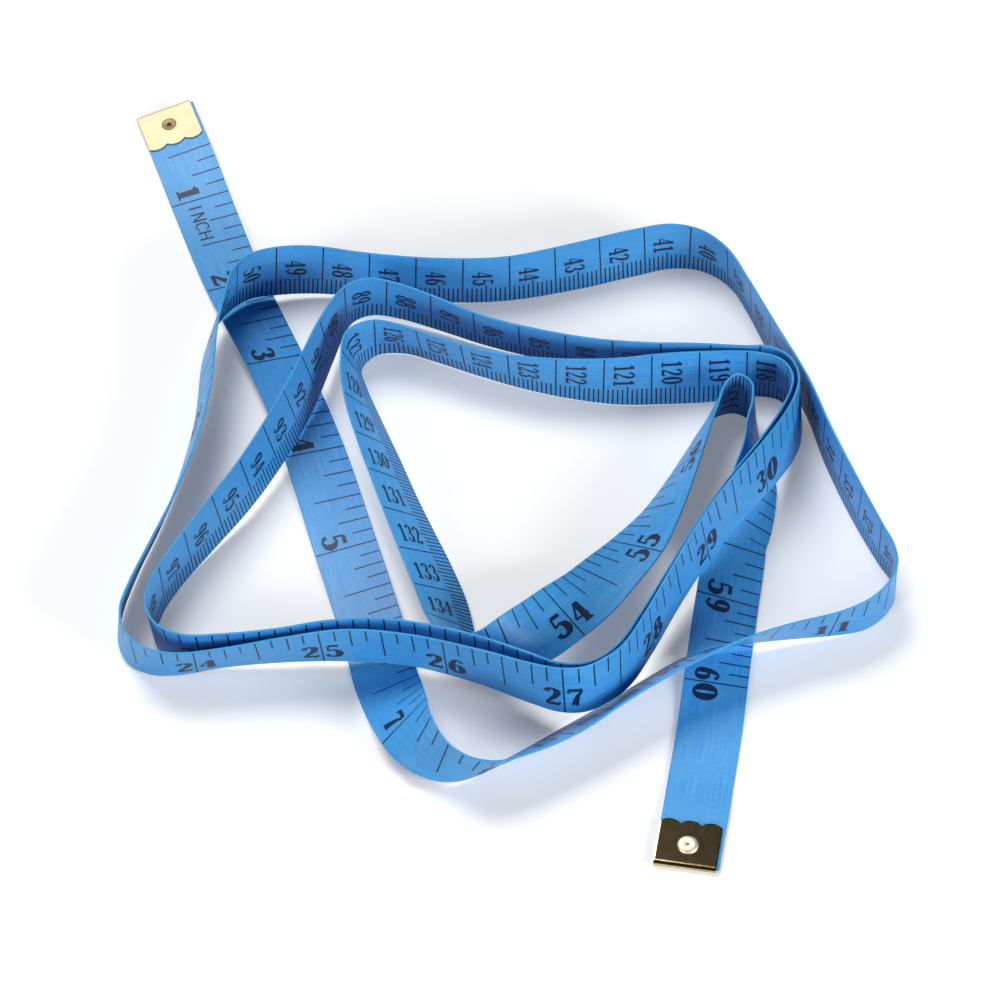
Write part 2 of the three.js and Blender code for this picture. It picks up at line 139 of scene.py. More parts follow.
INNER_FRONT: Stations = (
    (-0.055, -0.0435, -12, 0.0014), (-0.0445, -0.0429, -10, 0.0019), (-0.0345, -0.0418, -6, 0.0024),
    (-0.024, -0.0418, -4, 0.0029), (-0.0142, -0.0437, -4, 0.0034), (-0.0046, -0.0468, -3, 0.0038),
    (0.005, -0.0516, 1, 0.0044), (0.011, -0.0549, 5, 0.0048), (0.0167, -0.0553, 6, 0.0049),
    (0.0207, -0.0533, 6, 0.0048), (0.0242, -0.0496, 6, 0.0044),
)
INNER_RIGHT: Stations = (
    (0.0286, -0.0414, 6, 0.0034), (0.034, -0.0309, 5, 0.0038), (0.0398, -0.0206, 6, 0.005),
    (0.0462, -0.0106, 7, 0.006), (0.0532, -0.0001, 9, 0.0056), (0.0582, 0.0104, 9, 0.0026),
    (0.0606, 0.018, 6, 0.0005), (0.0609, 0.0229, 3, 0.0002), (0.0586, 0.0268, -1, 0),
    (0.054, 0.0283, -5, 0),
)
INNER_BACK: Stations = (
    (0.049, 0.0283, -10, 0), (0.0442, 0.0277, -15, 0.0002), (0.0343, 0.027, -15, 0.0003),
    (0.0243, 0.0262, -8, 0.0003), (0.0144, 0.0269, 1, 0.0003), (0.0046, 0.0286, 9, 0.0004),
    (-0.005, 0.0315, 14, 0.0005), (-0.0141, 0.0352, 15, 0.0005), (-0.0208, 0.0378, 13, 0.0004),
    (-0.0266, 0.038, 4, 0.0002), (-0.0307, 0.0346, -12, 0), (-0.0306, 0.0288, -24, 0),
)
INNER_LEFT: Stations = (
    (-0.0286, 0.02, -36, 0), (-0.025, 0.009, -43, 0), (-0.0216, -0.001, -46, 0),
    (-0.0182, -0.0104, -50, 0.0002), (-0.0148, -0.0196, -54, 0.0004), (-0.0118, -0.0286, -54, 0.0008),
    (-0.0099, -0.036, -48, 0.0006), (-0.0087, -0.0406, -36, 0.0004), (-0.006, -0.044, -15, 0.0008),
    (-0.002, -0.0452, 8, 0.002), (0.0024, -0.044, 34, 0.0042),
)
TURNOVER: Stations = (
    (0.007, -0.0412, 56, 0.006), (0.012, -0.0366, 70, 0.007), (0.0174, -0.0306, 84, 0.0072),
    (0.0226, -0.0232, 98, 0.0052), (0.0282, -0.0151, 112, 0.0022), (0.0332, -0.0065, 132, 0.0004),
    (0.0374, 0.0025, 146, 0), (0.0412, 0.0117, 157, 0), (0.0434, 0.017, 162, 0),
    (0.0458, 0.0212, 170, 0), (0.0492, 0.0231, 180, 0), (0.0522, 0.021, 178, 0),
)
FLAT_END: Stations = (
    (0.0529, 0.0162, 172, 0), (0.0526, 0.011, 163, 0), (0.053, 0.0068, 151, 0),
    (0.0528, 0.0027, 140, 0), (0.051, -0.0053, 127, 0), (0.0498, -0.009, 121, 0),
    (0.0486, -0.012, 115, 0), (0.048, -0.0153, 110, 0), (0.0469, -0.0215, 103, 0),
    (0.0458, -0.0285, 104, 0), (0.0447, -0.036, 99, 0), (0.0432, -0.047, 94.5, 0),
    (0.0423, -0.0535, 91, 0), (0.0416, -0.0585, 90, 0), (0.0397, -0.07, 90, 0),
    (0.0384, -0.0782, 90, TIP_LIFT), (0.0372, -0.085, 90, TIP_LIFT), (0.0362, -0.091, 90, TIP_LIFT),
)

STATIONS: Stations = (
    FLAT_START + LEANING_FRONT + OUTER_RIGHT + OUTER_BACK + OUTER_LEFT + MIDDLE_FRONT + MIDDLE_RIGHT
    + MIDDLE_BACK + MIDDLE_LEFT + INNER_FRONT + INNER_RIGHT + INNER_BACK + INNER_LEFT + TURNOVER
    + FLAT_END
)

# How far the print runs ahead of the course, in millimetres: (printed distance, lead).
PRINT_LEAD: tuple[tuple[float, float], ...] = (
    (0, 0), (25, -1), (51, -1.5), (76, 0.5), (102, 0), (127, -1), (149, 0.5), (187, -1.5), (279, -0.5),
    (345, 0), (375, 1), (388, 0), (488, 0.5), (610, 1), (724, 1.5), (749, 4), (762, 5.5), (775, 3),
    (818, 1.5), (938, 1.5), (968, 0.5), (1178, 3.5), (1248, 3.5), (1300, 4.5), (1328, 3.5), (1359, 7.5),
    (1378, 5.5), (1419, 7), (1470, 10), (1499, 9), (1524, 14),
)

# Pen: points round an oval, how quickly it thins towards top and bottom, and the width of a
# figure's box for a height of 1.
OVAL_STEPS = 20
OVAL_SWELL = 1.4
FIGURE_WIDTH = 0.62


class Face(Enum):
    """Printed faces of the band, with the side of the band each one is on."""

    INCH = 1
    CENTIMETRE = -1


def ring(x: float, y: float, rx: float, ry: float, thick: float, thin: float) -> Stroke:
    """Closed oval pen stroke, thick at its sides and thin at top and bottom.

    Args:
        x: Centre of the oval across the figure.
        y: Centre of the oval up the figure.
        rx: Half width of the pen's path.
        ry: Half height of the pen's path.
        thick: Half width of the pen at the sides.
        thin: Half width of the pen at top and bottom.

    Returns:
        The stroke's points with the pen's half width.
    """
    turns = [2 * math.pi * k / OVAL_STEPS for k in range(OVAL_STEPS + 1)]
    return tuple(
        (x + rx * math.cos(a), y + ry * math.sin(a),
         thin + (thick - thin) * abs(math.cos(a)) ** OVAL_SWELL)
        for a in turns
    )


def half_turn(strokes: Sequence[Stroke]) -> tuple[Stroke, ...]:
    """A figure turned upside down in its own box.

    Args:
        strokes: Pen strokes of the figure.

    Returns:
        The turned strokes.
    """
    return tuple(tuple((FIGURE_WIDTH - x, 1 - y, h) for x, y, h in stroke) for stroke in strokes)


SIX: tuple[Stroke, ...] = (
    ring(0.31, 0.3, 0.19, 0.265, 0.095, 0.035),
    ((0.12, 0.33, 0.09), (0.14, 0.6, 0.085), (0.22, 0.83, 0.06), (0.36, 0.96, 0.035),
     (0.48, 0.88, 0.05), (0.5, 0.8, 0.06)),
)

# Figures as pen strokes in their box: (x, y, half width of the pen).
FIGURES: dict[str, tuple[Stroke, ...]] = {
    "0": (ring(0.31, 0.5, 0.2, 0.46, 0.1, 0.035),),
    "1": (
        ((0.33, 0.04, 0.09), (0.33, 0.96, 0.09)),
        ((0.12, 0.035, 0.035), (0.54, 0.035, 0.035)),
        ((0.33, 0.93, 0.04), (0.12, 0.78, 0.04)),
    ),
    "2": (
        ((0.1, 0.72, 0.08), (0.14, 0.86, 0.06), (0.3, 0.96, 0.035), (0.47, 0.86, 0.08),
         (0.49, 0.7, 0.09), (0.4, 0.5, 0.07), (0.2, 0.25, 0.045), (0.08, 0.06, 0.04)),
        ((0.06, 0.06, 0.055), (0.3, 0.08, 0.06), (0.54, 0.06, 0.055)),
        ((0.54, 0.05, 0.03), (0.56, 0.22, 0.03)),
    ),
    "3": (
        ((0.1, 0.78, 0.07), (0.16, 0.9, 0.05), (0.3, 0.965, 0.035), (0.46, 0.88, 0.08),
         (0.47, 0.72, 0.09), (0.4, 0.58, 0.05), (0.26, 0.52, 0.03)),
        ((0.26, 0.52, 0.03), (0.44, 0.46, 0.06), (0.52, 0.3, 0.1), (0.46, 0.12, 0.08),
         (0.28, 0.035, 0.035), (0.13, 0.1, 0.05), (0.07, 0.24, 0.07)),
    ),
    "4": (
        ((0.38, 0.95, 0.03), (0.06, 0.32, 0.03)),
        ((0.04, 0.3, 0.035), (0.58, 0.3, 0.035)),
        ((0.42, 0.95, 0.085), (0.42, 0.05, 0.085)),
        ((0.26, 0.03, 0.03), (0.58, 0.03, 0.03)),
    ),
    "5": (
        ((0.14, 0.93, 0.055), (0.5, 0.93, 0.055)),
        ((0.14, 0.93, 0.03), (0.12, 0.52, 0.03)),
        ((0.12, 0.52, 0.03), (0.3, 0.61, 0.035), (0.47, 0.5, 0.08), (0.52, 0.31, 0.1),
         (0.45, 0.11, 0.075), (0.27, 0.035, 0.035), (0.12, 0.1, 0.05), (0.07, 0.23, 0.07)),
    ),
    "6": SIX,
    "7": (
        ((0.06, 0.92, 0.06), (0.54, 0.92, 0.06)),
        ((0.07, 0.92, 0.03), (0.06, 0.74, 0.03)),
        ((0.52, 0.88, 0.035), (0.38, 0.6, 0.05), (0.3, 0.3, 0.075), (0.27, 0.03, 0.09)),
    ),
    "8": (ring(0.31, 0.74, 0.165, 0.22, 0.085, 0.035), ring(0.31, 0.27, 0.2, 0.235, 0.095, 0.035)),
    "9": half_turn(SIX),
    "I": (((0.31, 0.0, 0.05), (0.31, 1.0, 0.05)),),
    "N": (
        ((0.1, 0.0, 0.05), (0.1, 1.0, 0.05)),
        ((0.1, 1.0, 0.05), (0.52, 0.0, 0.05)),
        ((0.52, 0.0, 0.05), (0.52, 1.0, 0.05)),
    ),
    "C": (
        ((0.54, 0.78, 0.05), (0.42, 0.93, 0.05), (0.28, 0.95, 0.05), (0.14, 0.84, 0.05),
         (0.08, 0.5, 0.05), (0.14, 0.16, 0.05), (0.28, 0.05, 0.05), (0.42, 0.07, 0.05),
         (0.54, 0.22, 0.05)),
    ),
    "H": (
        ((0.1, 0.0, 0.05), (0.1, 1.0, 0.05)),
        ((0.1, 0.5, 0.05), (0.52, 0.5, 0.05)),
        ((0.52, 0.0, 0.05), (0.52, 1.0, 0.05)),
    ),
}


def pen_quads(strokes: Sequence[Stroke], weight: float = 1.0, longest: float = 0.15) -> np.ndarray:
    """Flat four-sided pieces that fill a figure's strokes.

    Args:
        strokes: Pen strokes of the figure.
        weight: Factor on the pen's half width.
        longest: Longest piece along a stroke.

    Returns:
        Corners of the pieces, as pieces by four by two.
    """
    quads: list[np.ndarray] = []
    for stroke in strokes:
        points = [np.array(stroke[0])]
        for a, b in zip(stroke, stroke[1:]):
            start, end = np.array(a), np.array(b)
            parts = max(1, math.ceil(float(np.hypot(*(end - start)[:2])) / longest))
            points += [start + (end - start) * k / parts for k in range(1, parts + 1)]
        path = np.array(points)
        steps = np.diff(path[:, :2], axis=0)
        steps /= np.linalg.norm(steps, axis=1)[:, None]
        closed = np.allclose(path[0, :2], path[-1, :2])
        before = np.vstack([steps[-1:] if closed else steps[:1], steps])
        after = np.vstack([steps, steps[:1] if closed else steps[-1:]])
        along = before + after
        along /= np.linalg.norm(along, axis=1)[:, None]
        side = np.column_stack([-along[:, 1], along[:, 0]]) * path[:, 2:] * weight
        left, right = path[:, :2] + side, path[:, :2] - side
        quads += [np.array([right[k], right[k + 1], left[k + 1], left[k]]) for k in range(len(path) - 1)]
    return np.array(quads)


def new_object(name: str, bm: bmesh.types.BMesh) -> bpy.types.Object:
    """A linked object made from a bmesh, which is freed.

    Args:
        name: Name of the object and its mesh.
        bm: The shape, in the row frame.

    Returns:
        The object.
    """
    mesh = bpy.data.meshes.new(name)
    bm.to_mesh(mesh)
    bm.free()
    made = bpy.data.objects.new(name, mesh)
    bpy.context.scene.collection.objects.link(made)
    return made


@dataclass
class Course:
    """Centre line of the band and the way it faces, by distance along the band in metres."""

    stations: Stations
    width: float
    thickness: float
    step: float = 0.0008
    samples: int = 24
    length: float = field(init=False)
    marks: np.ndarray = field(init=False)
    centre: np.ndarray = field(init=False)
    travel: np.ndarray = field(init=False)
    across: np.ndarray = field(init=False)
    normal: np.ndarray = field(init=False)

    def build(self) -> "Course":
        """Lays the sections out at even distances along the band.

        Returns:
            The course itself.
        """
        rows = np.array(self.stations, float)
        rows[:, 3] += self._rise(rows[:, 2])
        values = self._smooth(rows)
        lean = np.radians(values[:, 2])
        points = np.column_stack([values[:, :2], np.maximum(values[:, 3], self._rise(values[:, 2]))])
        steps = np.linalg.norm(np.diff(points, axis=0), axis=1)
        distances = np.concatenate([[0.0], np.cumsum(steps)])
        self.length = float(distances[-1])
        self.marks = np.linspace(0, self.length, round(self.length / self.step) + 1)

        def at(distance: np.ndarray) -> np.ndarray:
            """Points of the centre line at these distances."""
            kept = np.clip(distance, 0, self.length)
            return np.column_stack([np.interp(kept, distances, points[:, k]) for k in range(3)])

        travel = at(self.marks + MM) - at(self.marks - MM)
        travel /= np.linalg.norm(travel, axis=1)[:, None]
        left = np.column_stack([-travel[:, 1], travel[:, 0], np.zeros(len(travel))])
        left /= np.linalg.norm(left, axis=1)[:, None]
        turn = np.interp(self.marks, distances, lean)[:, None]
        self.centre = at(self.marks) - np.array(MIDDLE)
        self.travel = travel
        self.across = np.cos(turn) * np.cross(travel, left) + np.sin(turn) * left
        self.normal = np.cross(travel, self.across)
        return self

    def _rise(self, lean: np.ndarray) -> np.ndarray:
        """Height of the centre line over the lower edge, for leans in degrees."""
        turn = np.radians(lean)
        return self.width / 2 * np.abs(np.cos(turn)) + self.thickness / 2 * np.abs(np.sin(turn))

    def _smooth(self, rows: np.ndarray) -> np.ndarray:
        """Smooth curve through the stations, with knots at the square root of the distance.

        Args:
            rows: Stations as x, y, lean and height of the centre line.

        Returns:
            Samples with the same four values.
        """
        knots = np.sqrt(np.hypot(*np.diff(rows[:, :2] / MM, axis=0).T))[:, None]
        slopes = np.diff(rows, axis=0) / knots
        before, after = knots[:-1], knots[1:]
        inner = (after * slopes[:-1] + before * slopes[1:]) / (before + after)
        tangents = np.vstack([slopes[:1], inner, slopes[-1:]])
        t = np.arange(self.samples)[None, :, None] / self.samples
        t2, t3 = t * t, t * t * t
        p, q = rows[:-1, None, :], rows[1:, None, :]
        m, n = (knots * tangents[:-1])[:, None, :], (knots * tangents[1:])[:, None, :]
        curve = (2 * t3 - 3 * t2 + 1) * p + (t3 - 2 * t2 + t) * m + (3 * t2 - 2 * t3) * q + (t3 - t2) * n
        return np.vstack([curve.reshape(-1, 4), rows[-1:]])

    def index(self, distance: float) -> int:
        """Number of the section nearest to a distance."""
        return int(np.abs(self.marks - distance).argmin())

    def place(self, distance: np.ndarray, across: np.ndarray, height: np.ndarray | float) -> np.ndarray:
        """Points on or over the band's flat facets.

        Args:
            distance: Distances along the band.
            across: Offsets towards the inch edge.
            height: Offsets towards the inch face.

        Returns:
            Points in the row frame.
        """
        low = np.clip(np.searchsorted(self.marks, distance, side="right") - 1, 0, len(self.marks) - 2)
        share = ((distance - self.marks[low]) / (self.marks[low + 1] - self.marks[low]))[:, None]
        high = np.broadcast_to(np.asarray(height, float), np.shape(distance))[:, None]
        wide = np.asarray(across, float)[:, None]
        ends = [self.centre[i] + wide * self.across[i] + high * self.normal[i] for i in (low, low + 1)]
        return ends[0] * (1 - share) + ends[1] * share

    def end_frame(self, at_start: bool) -> Matrix:
        """Placement of a tip: x runs from the band's end inward, z along the inch face's normal.

        Args:
            at_start: True for the end that the print counts from.

        Returns:
            The placement in the row frame, at the tip's underside.
        """
        i = 0 if at_start else -1
        along = Vector(self.travel[i]) * (1 if at_start else -1)
        up = Vector(self.normal[i])
        seat = Vector(self.centre[i]) - up * (TIP_LIFT + self.thickness / 2)
        seat -= Vector(self.across[i]) * TIP_OFFSET
        return Matrix.Translation(seat) @ Matrix((along, up.cross(along), up)).transposed().to_4x4()


@dataclass(frozen=True)
class ClothFinish:
    """Coated cloth with fine threads along the band, for the faces or the edges."""

    name: str
    colour: Colour
    pale: Colour
    roughness: float
    streaks: float
    gloss: float = 0.4
    warp: tuple[float, float] = (0.1, 4.4)
    weft: tuple[float, float] = (4.0, 0.4)
    cloud: tuple[float, float] = (0.05, 0.1)
    warp_share: float = 0.65
    weft_share: float = 0.35
    contrast: tuple[float, float] = (0.35, 0.65)
    relief: float = 0.00004
    relief_strength: float = 0.25
    unevenness: float = 0.06

    def material(self) -> bpy.types.Material:
        """The finish as a material on the band's own map of distance and width."""
        made = bpy.data.materials.new(self.name)
        made.use_nodes = True
        nodes, links = made.node_tree.nodes, made.node_tree.links
        shader = nodes["Principled BSDF"]
        shader.inputs["Roughness"].default_value = self.roughness
        shader.inputs["Specular IOR Level"].default_value = self.gloss
        laid = nodes.new("ShaderNodeUVMap")
        laid.uv_map = "band"

        def threads(count: tuple[float, float], detail: float) -> bpy.types.Node:
            """Noise drawn out along or across the band, in threads per millimetre both ways."""
            scaled = nodes.new("ShaderNodeMapping")
            scaled.inputs["Scale"].default_value = (*count, 1)
            links.new(laid.outputs["UV"], scaled.inputs["Vector"])
            noise = nodes.new("ShaderNodeTexNoise")
            noise.noise_dimensions = "2D"
            noise.inputs["Scale"].default_value = 1
            noise.inputs["Detail"].default_value = detail
            links.new(scaled.outputs["Vector"], noise.inputs["Vector"])
            return noise

        warp, weft, cloud = threads(self.warp, 2), threads(self.weft, 2), threads(self.cloud, 1)
        total = nodes.new("ShaderNodeMath")
        total.operation = "MULTIPLY_ADD"
        total.inputs[1].default_value = self.warp_share
        links.new(warp.outputs["Fac"], total.inputs[0])
        part = nodes.new("ShaderNodeMath")
        part.operation = "MULTIPLY"
        part.inputs[1].default_value = self.weft_share
        links.new(weft.outputs["Fac"], part.inputs[0])
        links.new(part.outputs[0], total.inputs[2])
        spread = nodes.new("ShaderNodeMapRange")
        spread.inputs["From Min"].default_value = self.contrast[0]
        spread.inputs["From Max"].default_value = self.contrast[1]
        spread.inputs["To Min"].default_value = 0
        spread.inputs["To Max"].default_value = self.streaks
        links.new(total.outputs[0], spread.inputs["Value"])
        mix = nodes.new("ShaderNodeMix")
        mix.data_type = "RGBA"
        mix.inputs["A"].default_value = (*self.colour, 1)
        mix.inputs["B"].default_value = (*self.pale, 1)
        links.new(spread.outputs["Result"], mix.inputs["Factor"])
        links.new(mix.outputs["Result"], shader.inputs["Base Color"])
        bump = nodes.new("ShaderNodeBump")
        bump.inputs["Strength"].default_value = self.relief_strength
        bump.inputs["Distance"].default_value = self.relief
        links.new(total.outputs[0], bump.inputs["Height"])
        links.new(bump.outputs["Normal"], shader.inputs["Normal"])
        gloss = nodes.new("ShaderNodeMapRange")
        gloss.inputs["To Min"].default_value = self.roughness - self.unevenness
        gloss.inputs["To Max"].default_value = self.roughness + self.unevenness
        links.new(cloud.outputs["Fac"], gloss.inputs["Value"])
        links.new(gloss.outputs["Result"], shader.inputs["Roughness"])
        return made


@dataclass(frozen=True)
class PlainFinish:
    """One even colour, for ink or the painted shade at the middle of a rivet's head."""

    name: str
    colour: Colour
    roughness: float
    gloss: float = 0.2

    def material(self) -> bpy.types.Material:
        """The finish as a material."""
        made = bpy.data.materials.new(self.name)
        made.use_nodes = True
        shader = made.node_tree.nodes["Principled BSDF"]
        shader.inputs["Base Color"].default_value = (*self.colour, 1)
        shader.inputs["Roughness"].default_value = self.roughness
        shader.inputs["Specular IOR Level"].default_value = self.gloss
        return made


@dataclass(frozen=True)
class FloorFinish:
    """Matt table, seen a little paler than the light it throws back and white in the distance."""

    name: str
    bounce: float
    seen: float
    glow: float
    near: float = 0.35
    far: float = 1.2

    def material(self) -> bpy.types.Material:
        """The finish as a material."""
        made = bpy.data.materials.new(self.name)
        made.use_nodes = True
        nodes, links = made.node_tree.nodes, made.node_tree.links
        shader = nodes["Principled BSDF"]
        shader.inputs["Roughness"].default_value = 1
        shader.inputs["Specular IOR Level"].default_value = 0
        shader.inputs["Emission Color"].default_value = (1, 1, 1, 1)
        path = nodes.new("ShaderNodeLightPath")
        seen = path.outputs["Is Camera Ray"]
        for ray in ("Is Glossy Ray", "Is Transmission Ray"):
            either = nodes.new("ShaderNodeMath")
            either.operation = "MAXIMUM"
            links.new(seen, either.inputs[0])
            links.new(path.outputs[ray], either.inputs[1])
            seen = either.outputs[0]
        mix = nodes.new("ShaderNodeMix")
        mix.data_type = "RGBA"
        mix.inputs["A"].default_value = (self.bounce, self.bounce, self.bounce, 1)
        mix.inputs["B"].default_value = (self.seen, self.seen, self.seen, 1)
        links.new(seen, mix.inputs["Factor"])
        links.new(mix.outputs["Result"], shader.inputs["Base Color"])
        where = nodes.new("ShaderNodeTexCoord")
        away = nodes.new("ShaderNodeVectorMath")
        away.operation = "LENGTH"
        links.new(where.outputs["Object"], away.inputs[0])
        level = nodes.new("ShaderNodeMapRange")
        level.inputs["From Min"].default_value = self.near
        level.inputs["From Max"].default_value = self.far
        level.inputs["To Min"].default_value = self.glow
        level.inputs["To Max"].default_value = 1
        links.new(away.outputs["Value"], level.inputs["Value"])
        glow = nodes.new("ShaderNodeMath")
        glow.operation = "MULTIPLY"
        links.new(seen, glow.inputs[0])
        links.new(level.outputs["Result"], glow.inputs[1])
        links.new(glow.outputs[0], shader.inputs["Emission Strength"])
        return made


@dataclass(frozen=True)
class BrassFinish:
    """Stamped brass speckled with a second colour: faint tarnished spots on the start tip, tarnished
    spots and painted shade on the end tip, and on the rivet heads painted shade (start) and painted
    highlight (end).
    """

    name: str
    colour: Colour
    tarnish: Colour
    roughness: float
    grain: float = 420.0
    detail: float = 3.0
    contrast: tuple[float, float] = (0.42, 0.75)

    def material(self) -> bpy.types.Material:
        """The finish as a material on the object's own coordinates."""
        made = bpy.data.materials.new(self.name)
        made.use_nodes = True
        nodes, links = made.node_tree.nodes, made.node_tree.links
        shader = nodes["Principled BSDF"]
        shader.inputs["Metallic"].default_value = 1
        shader.inputs["Roughness"].default_value = self.roughness
        where = nodes.new("ShaderNodeTexCoord")
        noise = nodes.new("ShaderNodeTexNoise")
        noise.inputs["Scale"].default_value = self.grain
        noise.inputs["Detail"].default_value = self.detail
        links.new(where.outputs["Object"], noise.inputs["Vector"])
        spread = nodes.new("ShaderNodeMapRange")
        spread.inputs["From Min"].default_value = self.contrast[0]
        spread.inputs["From Max"].default_value = self.contrast[1]
        links.new(noise.outputs["Fac"], spread.inputs["Value"])
        mix = nodes.new("ShaderNodeMix")
        mix.data_type = "RGBA"
        mix.inputs["A"].default_value = (*self.colour, 1)
        mix.inputs["B"].default_value = (*self.tarnish, 1)
        links.new(spread.outputs["Result"], mix.inputs["Factor"])
        links.new(mix.outputs["Result"], shader.inputs["Base Color"])
        return made


@dataclass
class TapeRun:
    """One stretch of the band, on one body, or given a second body and a hinge but left unbent and tied
    to neither.
    """

    name: str
    start: float
    end: float
    body: str
    bends_to: str | None = None
    hinge: float = 0.0
    reach: float = 0.008
    chamfer: float = 0.00012
    strips: int = 12
    crease: float = 0.5
    shape: bpy.types.Object | None = None

    def build(self, course: Course) -> bpy.types.Object:
        """Closed band with softened edges along the course, its faces split into strips.

        Args:
            course: The band's course.

        Returns:
            The stretch, not yet tied to a body.
        """
        half, thin, c = course.width / 2, course.thickness / 2, self.chamfer
        face = [(float(w), -thin) for w in np.linspace(-half + c, half - c, self.strips + 1)]
        outline = face + [(half, -thin + c), (half, thin - c)]
        outline += [(-w, -n) for w, n in outline]
        count = len(outline)
        low, high = course.index(self.start), course.index(self.end)
        marks = course.marks[low:high + 1]
        rows = [course.centre[low:high + 1] + w * course.across[low:high + 1]
                + n * course.normal[low:high + 1] for w, n in outline]
        bm = bmesh.new()
        laid = bm.loops.layers.uv.new("band")
        rings = []
        for i in range(len(marks)):
            rings.append([bm.verts.new((row[i][0], row[i][1], max(row[i][2], 0.0))) for row in rows])
        for i in range(len(marks) - 1):
            for k in range(count):
                n = (k + 1) % count
                made = bm.faces.new((rings[i][k], rings[i][n], rings[i + 1][n], rings[i + 1][k]))
                made.smooth = True
                made.material_index = 0 if k % (count // 2) < self.strips else 1
                for loop, (row, col) in zip(made.loops, ((i, k), (i, n), (i + 1, n), (i + 1, k))):
                    loop[laid].uv = (marks[row] / MM, outline[col][0] / MM)
        bm.faces.new(tuple(reversed(rings[0])))
        bm.faces.new(tuple(rings[-1]))
        bm.normal_update()
        for edge in bm.edges:
            edge.smooth = not (edge.is_manifold and edge.calc_face_angle() > self.crease)
        self.shape = new_object(self.name, bm)
        return self.shape

    def dress(self, face: bpy.types.Material, edge: bpy.types.Material) -> None:
        """Cloth on the two faces and the paler selvedge on the edges."""
        self.shape.data.materials.append(face)
        self.shape.data.materials.append(edge)

    def tie(self, course: Course, piece: bpy.types.Object) -> None:
        """Ties a piece of this stretch to its body; a piece of a stretch with a second body is only
        baked into the row frame, unbent and tied to no body.

        Args:
            course: The band's course.
            piece: The stretch itself or its print.
        """
        if self.bends_to is None:
            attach(piece, self.body)
            return
        way = 1 if self.hinge > (self.start + self.end) / 2 else -1
        away = course.centre[course.index(self.hinge + way * self.reach)]
        towards = course.centre[course.index(self.hinge - way * self.reach)]
        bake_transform(piece)


@dataclass(frozen=True)
class InchScale:
    """Print of the inch face: shares of the width that the eighths' lines cross, figures, word."""

    last: int = 60
    shares: tuple[float, ...] = (1.0, 0.32, 0.49, 0.32, 0.76, 0.32, 0.49, 0.32)
    figure_height: float = 0.0050
    figure_width: float = 0.0058
    figure_side: float = 0.00235
    figure_across: float = -0.0019
    pen: float = 1.45
    word: str = "INCH"
    word_start: float = 0.0261
    word_pitch: float = 0.0027
    word_width: float = 0.0043
    word_height: float = 0.003
    word_across: float = -0.0033


@dataclass(frozen=True)
class CentimetreScale:
    """Print of the centimetre face: shares of the width that the lines cross, and figures."""

    last: int = 150
    offset: float = -0.0025
    shares: tuple[float, ...] = (1.0, 0.33, 0.33, 0.33, 0.33, 0.39, 0.33, 0.33, 0.33, 0.33)
    figure_height: float = 0.0045
    figure_width: float = 0.0031
    figure_pitch: float = 0.00205
    figure_back: float = 0.0043
    figure_across: float = -0.00143
    pen: float = 1.15


